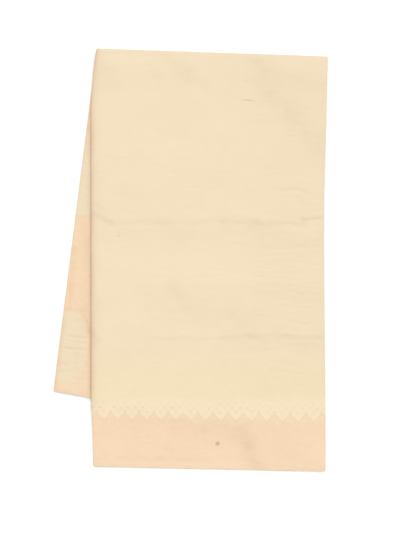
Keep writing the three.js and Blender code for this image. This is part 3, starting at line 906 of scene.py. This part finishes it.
def make_oval_buttas():
    """Large woven ovals in columns along the pallu, with a quieter lattice inside each."""
    inputs = [
        ("Cloth", VECTOR, None),
        ("First Oval", VECTOR, None),
        ("Repeat Across", FLOAT, 172.0),
        ("Repeat Along", FLOAT, 254.0),
        ("Half Width", FLOAT, 30.0),
        ("Half Length", FLOAT, 54.0),
        ("Squareness", FLOAT, 2.6),
    ]
    outputs = [("Oval", FLOAT), ("Rim", FLOAT), ("Lattice", FLOAT)]
    tree, given, result = new_group("oval_buttas", inputs, outputs)
    square = given.outputs["Squareness"]
    away = add(tree, "ShaderNodeVectorMath", {0: given.outputs["Cloth"], 1: given.outputs["First Oval"]})
    away.operation = "SUBTRACT"
    parts = add(tree, "ShaderNodeSeparateXYZ", {"Vector": away.outputs[0]})
    powers = []
    for axis, repeat, half in (("X", "Repeat Across", "Half Width"), ("Y", "Repeat Along", "Half Length")):
        run = given.outputs[repeat]
        turns = calc(tree, "ADD", calc(tree, "DIVIDE", parts.outputs[axis], run), 0.5)
        off_centre = calc(tree, "SUBTRACT", calc(tree, "FRACT", turns), 0.5)
        local = calc(tree, "MULTIPLY", off_centre, run)
        share = calc(tree, "ABSOLUTE", calc(tree, "DIVIDE", local, given.outputs[half]))
        powers.append(calc(tree, "POWER", share, square))
    reach = calc(tree, "POWER", calc(tree, "ADD", *powers), calc(tree, "DIVIDE", 1.0, square))
    oval = flipped(tree, smooth(tree, reach, 0.92, 1.08))
    off_rim = calc(tree, "ABSOLUTE", calc(tree, "SUBTRACT", reach, 1.06))
    rim = flipped(tree, smooth(tree, off_rim, 0.02, 0.09))
    waves = []
    for operation in ("ADD", "SUBTRACT"):
        slant = calc(tree, operation, parts.outputs["X"], parts.outputs["Y"])
        waves.append(calc(tree, "SINE", calc(tree, "MULTIPLY", slant, LATTICE_TURN)))
    lattice = calc(tree, "MULTIPLY_ADD", calc(tree, "MULTIPLY", *waves), 0.5, 0.5)
    tree.links.new(oval, result.inputs["Oval"])
    tree.links.new(rim, result.inputs["Rim"])
    tree.links.new(lattice, result.inputs["Lattice"])
    return tree


SILK_WEAVE = make_silk_weave()
FINE_CRINKLE = make_crinkle()
SOFT_SPOT = make_soft_spot()
TEMPLE_LATTICE = make_temple_lattice()
OVAL_BUTTAS = make_oval_buttas()

CREAM = linear(213.3, 195.6, 166.0)
STRAW = linear(213.9, 197.2, 163.2)
PALE_CREAM = linear(217.6, 200.2, 168.8)
TIP_CREAM = linear(219.8, 199.0, 167.2)
PEACH = linear(218.3, 192.2, 161.6)
STAIN = linear(156, 128, 97)
EYELET = linear(206, 188, 157)
# What soil with painted shade, the pink painted shade of the left fold and the orange streaks leave of the
# cloth's light, where they are full
SHADE_AND_SOIL_TINT = (0.72, 0.695, 0.615, 1.0)
FOLD_SHADE_TINT = (0.86, 0.723, 0.73, 1.0)
ORANGE_TINT = (0.97, 0.88, 0.79, 1.0)
CRINKLE_LIFT = 0.2 * MM
THREAD_LIFT = 0.03 * MM


def placed_group(tree, shared, inputs):
    """The outputs of a shared group, placed in a material's tree with its own inputs."""
    made = tree.nodes.new("ShaderNodeGroup")
    made.node_tree = shared
    for name, value in inputs.items():
        feed(tree, made.inputs[name], value)
    return made.outputs


def uv(tree, label):
    return add(tree, "ShaderNodeUVMap", uv_map=label).outputs["UV"]


def spots_of(tree, cloth, spots):
    """The strongest of several soft spots at each place, each spot a row like those of FIELD_MARKS."""
    total = None
    for u, v, wide, long, turn, softness, strength in spots:
        inputs = {
            "Cloth": cloth,
            "Centre": (u, v, 0.0),
            "Half Width": wide,
            "Half Length": long,
            "Turn": math.radians(turn),
            "Softness": softness,
        }
        mask = calc(tree, "MULTIPLY", placed_group(tree, SOFT_SPOT, inputs)["Mask"], strength)
        total = mask if total is None else calc(tree, "MAXIMUM", total, mask)
    return total


def aged_and_shaded_colour(tree, cloth, colour, fold_shade_and_blush_tint):
    """The colour under the piece's own soil and painted shade, and its painted fold shade and blush, which a
    fine noise frays.
    """
    soil = add(tree, "ShaderNodeAttribute", attribute_name="soil").outputs["Fac"]
    blush = add(tree, "ShaderNodeAttribute", attribute_name="blush").outputs["Fac"]
    grain = speckle(tree, cloth, (0.1, 0.32, 1.0), 3.0, (4.0, 6.0, 0.0))
    fray = calc(tree, "MULTIPLY_ADD", grain, 0.9, 0.55)
    colour = blend_colour(tree, calc(tree, "MULTIPLY", soil, fray), colour, SHADE_AND_SOIL_TINT, "MULTIPLY")
    return blend_colour(tree, blush, colour, fold_shade_and_blush_tint, "MULTIPLY")


def finish_silk(material, colour, cloth, rightwards=1.0, fold_shade_and_blush_tint=FOLD_SHADE_TINT, mottle=0.3):
    """Ages the colour, paints shade into it, weaves it and gives it silk's soft shine, slubs and crinkle."""
    tree = material.node_tree
    colour = aged_and_shaded_colour(tree, cloth, colour, fold_shade_and_blush_tint)
    threads = {"Cloth": cloth, "Thread Pitch": 0.6, "Slub": 1.0, "Mottle": mottle}
    weave = placed_group(tree, SILK_WEAVE, threads)
    crinkle = placed_group(tree, FINE_CRINKLE, {"Cloth": cloth, "Rightwards": rightwards})
    tone = calc(tree, "MULTIPLY_ADD", weave["Tone"], 0.12, 0.94)
    woven = add(tree, "ShaderNodeVectorMath", {"Vector": colour, "Scale": tone}, operation="SCALE")
    thread_bump = {"Height": weave["Height"], "Strength": 0.5, "Distance": THREAD_LIFT}
    crinkle_bump = {"Height": crinkle["Height"], "Strength": 1.0, "Distance": CRINKLE_LIFT}
    fine = add(tree, "ShaderNodeBump", thread_bump)
    folds = add(tree, "ShaderNodeBump", crinkle_bump)
    tree.links.new(fine.outputs["Normal"], folds.inputs["Normal"])
    shader = tree.nodes["Principled BSDF"]
    shader.inputs["Specular IOR Level"].default_value = 0.4
    shader.inputs["Sheen Weight"].default_value = 0.25
    shader.inputs["Sheen Roughness"].default_value = 0.35
    shader.inputs["Sheen Tint"].default_value = linear(255, 246, 228)
    tree.links.new(woven.outputs[0], shader.inputs["Base Color"])
    tree.links.new(calc(tree, "MULTIPLY_ADD", weave["Tone"], 0.2, 0.44), shader.inputs["Roughness"])
    tree.links.new(folds.outputs["Normal"], shader.inputs["Normal"])


def new_silk(name):
    material = bpy.data.materials.new(name)
    material.use_nodes = True
    return material


# Small marks: (u, v, half width, half length, turn, softness, strength)
FIELD_MARKS = [(228, 548, 8.0, 0.9, 2, 0.7, 0.34), (41, 342, 1.5, 1.5, 0, 0.6, 0.26)]
BORDER_MARKS = [(184, 38, 3.0, 3.0, 0, 0.4, 0.56), (190, 32, 2.2, 1.0, -40, 0.6, 0.12)]


def make_field_silk():
    """Cream ground, paler in the band over the temple line, with soft age marks."""
    material = new_silk("cream_field_silk")
    tree = material.node_tree
    cloth = uv(tree, "cloth")
    lattice = placed_group(tree, TEMPLE_LATTICE, {"Temple": uv(tree, "temple")})
    colour = blend_colour(tree, lattice["Halo"], CREAM, STRAW)
    colour = blend_colour(tree, lattice["Band"], colour, PALE_CREAM)
    colour = blend_colour(tree, lattice["Tips"], colour, TIP_CREAM)
    colour = blend_colour(tree, lattice["Eyelets"], colour, EYELET)
    colour = blend_colour(tree, spots_of(tree, cloth, FIELD_MARKS), colour, STAIN)
    finish_silk(material, colour, cloth)
    return material


def make_border_silk():
    """Peach ground of the contrast border, with one round stain and a small mark beside it."""
    material = new_silk("peach_border_silk")
    tree = material.node_tree
    cloth = uv(tree, "cloth")
    colour = blend_colour(tree, spots_of(tree, cloth, BORDER_MARKS), PEACH, STAIN)
    finish_silk(material, colour, cloth, mottle=0.55)
    return material


FIRST_OVAL = (12.0, 1076.0, 0.0)


def make_pallu_silk():
    """Peach pallu with large cream ovals, each with a darker woven rim."""
    material = new_silk("figured_pallu_silk")
    tree = material.node_tree
    cloth = uv(tree, "cloth")
    ovals = placed_group(tree, OVAL_BUTTAS, {"Cloth": cloth, "First Oval": FIRST_OVAL})
    woven = blend_colour(tree, calc(tree, "MULTIPLY", ovals["Lattice"], 0.12), CREAM, EYELET)
    rimmed = blend_colour(tree, calc(tree, "MULTIPLY", ovals["Rim"], 0.22), PEACH, ORANGE_TINT, "MULTIPLY")
    colour = blend_colour(tree, ovals["Oval"], rimmed, woven)
    finish_silk(material, colour, cloth, rightwards=0.4, fold_shade_and_blush_tint=ORANGE_TINT, mottle=0.6)
    return material


def make_inner_silk():
    """Cream ground with both borders, for plies whose whole length lies in one piece."""
    material = new_silk("folded_inner_silk")
    tree = material.node_tree
    cloth = uv(tree, "cloth")
    parts = add(tree, "ShaderNodeSeparateXYZ", {"Vector": cloth})
    below = calc(tree, "LESS_THAN", parts.outputs["Y"], BORDER)
    above = calc(tree, "GREATER_THAN", parts.outputs["Y"], BACK_HEM - NARROW_BORDER)
    colour = blend_colour(tree, calc(tree, "MAXIMUM", below, above), CREAM, PEACH)
    finish_silk(material, colour, cloth, rightwards=0.6)
    return material


# ---------------------------------------------------------------- the pieces


def dress(piece, material, node):
    """Gives a stretch of cloth its material and its body, and hides the node of model.glb that it replaces.
    """
    piece.data.materials.append(material)
    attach(piece, "root")
    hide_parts(node)


def toothed_rows(levels, shares):
    """Rows that ease into the temple line: each level with its share of the line's rise and fall."""

    def row_v(u):
        return levels[None, :] + shares[None, :] * temple_line(u)

    return row_v


ROW = 1.75
FINE_ROW = 1.4
WIDE_ROW = 1.9
PUCKERED = (190.0, 420.0)  # the run of the front fall with the finest wrinkles
COLUMN = 2.75
EASE_IN = 22.0
PALLU_FINE_FROM = 880.0  # from here on the pallu's rows are close together
HEM_RUN = 200.0  # how far from a hem the hidden plies begin to slide apart


def make_front_border(material):
    levels = steps(0.0, BORDER, ROW)
    shares = np.clip(1 - (BORDER - levels) / EASE_IN, 0.0, 1.0)
    section = field_section(fine_across(COLUMN))
    row_v = toothed_rows(levels, shares)
    piece = silk_shell("front_border_cloth", section, levels, row_v, front_relief, tones=front_tones)
    dress(piece, material, "front_border")


def make_front_field(material):
    low, high = PUCKERED
    below, above = steps(BORDER, low, WIDE_ROW), steps(high, FRONT_RUN, WIDE_ROW)
    levels = np.concatenate([below[:-1], steps(low, high, FINE_ROW)[:-1], above])
    shares = np.clip(1 - (levels - BORDER) / EASE_IN, 0.0, 1.0)
    section = field_section(fine_across(COLUMN))
    row_v = toothed_rows(levels, shares)
    piece = silk_shell("front_field_cloth", section, levels, row_v, front_relief, tones=front_tones)
    dress(piece, material, "front_field")


def make_roll_field(material):
    section = field_section(steps(8.0, STRIP - 4.0, 11.0))
    piece = silk_shell("roll_field_cloth", section, steps(FRONT_RUN, BACK_START, 0.8), tones=front_tones)
    dress(piece, material, "roll_field")


def make_under_field(field, border):
    section = field_section(steps(8.0, STRIP - 4.0, 7.0))
    narrow_start = BACK_HEM - NARROW_BORDER
    stretches = (
        ("under_field", field, "field_silk", BACK_START, narrow_start, 7.0),
        ("under_narrow_border", border, "border_silk", narrow_start, BACK_HEM, 4.0),
    )
    for node, material, slot, start, end, spacing in stretches:
        piece = silk_shell(f"{node}_cloth", section, steps(start, end, spacing), relief=under_relief)
        dress(piece, material, node)


def make_back_pallu(pallu, border):
    across = np.concatenate([steps(4.0, 74.0, 2.2), steps(84.0, STRIP - 12.0, 12.0)])
    section = pallu_section(across)
    narrow_start = BACK_HEM - NARROW_BORDER
    rolled = steps(FRONT_RUN, BACK_START, 2.0)[:-1]
    coarse = steps(BACK_START, PALLU_FINE_FROM, 4.0)[:-1]
    rows = np.concatenate([rolled, coarse, steps(PALLU_FINE_FROM, narrow_start, 1.25)])
    piece = silk_shell("back_pallu_cloth", section, rows, relief=pallu_relief, tones=pallu_tones)
    dress(piece, pallu, "back_pallu")
    rows = steps(narrow_start, BACK_HEM, 2.0)
    piece = silk_shell("back_narrow_border_cloth", section, rows, relief=pallu_relief, tones=pallu_tones)
    dress(piece, border, "back_narrow_border")


def make_under_pallu(material):
    section = pallu_section(steps(4.0, STRIP - 8.0, 7.0))
    piece = silk_shell("under_pallu_cloth", section, steps(0.0, FRONT_RUN, 6.0), relief=under_relief)
    dress(piece, material, "under_pallu")


def uneven_hems(s, v):
    """How far each hidden ply slides along the strip, so that its edges stand out of the hems or in."""
    slide = 0.45 * np.sin(s * 2.3 / STRIP + 0.6) + 0.35 * np.sin(s * 5.1 / STRIP)
    slide = slide + 0.15 * np.sin(s * 17.0 / STRIP)
    return (slide + 0.15) * (ease(1 - v / HEM_RUN) - ease((v - BACK_HEM + HEM_RUN) / HEM_RUN))


def make_inner_plies(material):
    section = hidden_section()
    front = np.concatenate([[0.0, 4.0], steps(12.0, 130.0, 10.0), steps(170.0, FRONT_RUN - NIP_RUN, 75.0)])
    roll = np.concatenate([[570.0, 590.0], steps(FRONT_RUN, BACK_START, 1.8)])
    rows = np.concatenate([front, roll, [700.0, 850.0, 1000.0, 1100.0, BACK_HEM - 6.0, BACK_HEM]])
    piece = silk_shell("inner_plies_cloth", section, rows, hem_shift=uneven_hems, thick=HIDDEN_SILK)
    dress(piece, material, "inner_plies")


def make_sari():
    field = make_field_silk()
    border = make_border_silk()
    pallu = make_pallu_silk()
    make_front_border(border)
    make_front_field(field)
    make_roll_field(field)
    make_under_field(field, border)
    make_back_pallu(pallu, border)
    make_under_pallu(pallu)
    make_inner_plies(make_inner_silk())


# ---------------------------------------------------------------- floor, light and camera

FLOOR_SIZE = 12.0
FLOOR_DROP = 0.3 * MM
WALL_LIGHT = 0.86  # of the white walls on the cloth; they look as white as the floor themselves
VIEW_SIZE = (400, 533)  # of the rendered frame, in pixels
VIEW_SCALE = 1.475 * MM  # of one of its pixels, at the cloth
SARI_MIDDLE = (190.55, 259.85)  # where the frame has the middle of the sari's box, in pixels
LENS = 100.0
SENSOR = 36.0


def make_floor():
    half = FLOOR_SIZE / 2
    corners = [(-half, -half), (half, -half), (half, half), (-half, half)]
    mesh = bpy.data.meshes.new("floor")
    mesh.from_pydata([(x, y, -FLOOR_DROP) for x, y in corners], [], [(0, 1, 2, 3)])
    material = bpy.data.materials.new("white_floor")
    material.use_nodes = True
    shader = material.node_tree.nodes["Principled BSDF"]
    shader.inputs["Base Color"].default_value = (0.93, 0.93, 0.93, 1.0)
    shader.inputs["Roughness"].default_value = 0.9
    shader.inputs["Specular IOR Level"].default_value = 0.0
    mesh.materials.append(material)
    floor = bpy.data.objects.new("floor", mesh)
    bpy.context.scene.collection.objects.link(floor)


def make_sun(name, azimuth, elevation, strength, softness):
    light = bpy.data.lights.new(name, "SUN")
    light.energy = strength
    light.angle = math.radians(softness)
    lamp = bpy.data.objects.new(name, light)
    lamp.rotation_euler = (0.0, math.radians(90 - elevation), math.radians(azimuth))
    bpy.context.scene.collection.objects.link(lamp)


def make_light():
    """A broad soft light from the upper right, a weaker one from the upper left, and white walls."""
    make_sun("broad_key", azimuth=45, elevation=66, strength=1.2, softness=40)
    make_sun("soft_fill", azimuth=130, elevation=60, strength=0.5, softness=60)
    world = bpy.data.worlds.new("white_walls")
    world.use_nodes = True
    tree = world.node_tree
    background = tree.nodes["Background"]
    background.inputs["Color"].default_value = (1.0, 1.0, 1.0, 1.0)
    seen = add(tree, "ShaderNodeLightPath").outputs["Is Camera Ray"]
    strength = calc(tree, "MULTIPLY_ADD", seen, 1.0 - WALL_LIGHT, WALL_LIGHT)
    tree.links.new(strength, background.inputs["Strength"])
    bpy.context.scene.world = world
    bpy.context.scene.view_settings.view_transform = "Standard"


def make_camera():
    """Straight over the sari, with the scale and framing of the named values."""
    data = bpy.data.cameras.new("overhead_camera")
    data.lens = LENS
    data.sensor_width = SENSOR
    camera = bpy.data.objects.new("overhead_camera", data)
    reach = VIEW_SCALE * VIEW_SIZE[1] * LENS / SENSOR
    x = (VIEW_SIZE[0] / 2 - SARI_MIDDLE[0]) * VIEW_SCALE
    y = (SARI_MIDDLE[1] - VIEW_SIZE[1] / 2) * VIEW_SCALE
    camera.location = (x, y, reach + 2 * STACK * MM)
    bpy.context.scene.collection.objects.link(camera)
    bpy.context.scene.camera = camera


make_camera()
make_light()
make_floor()
make_sari()
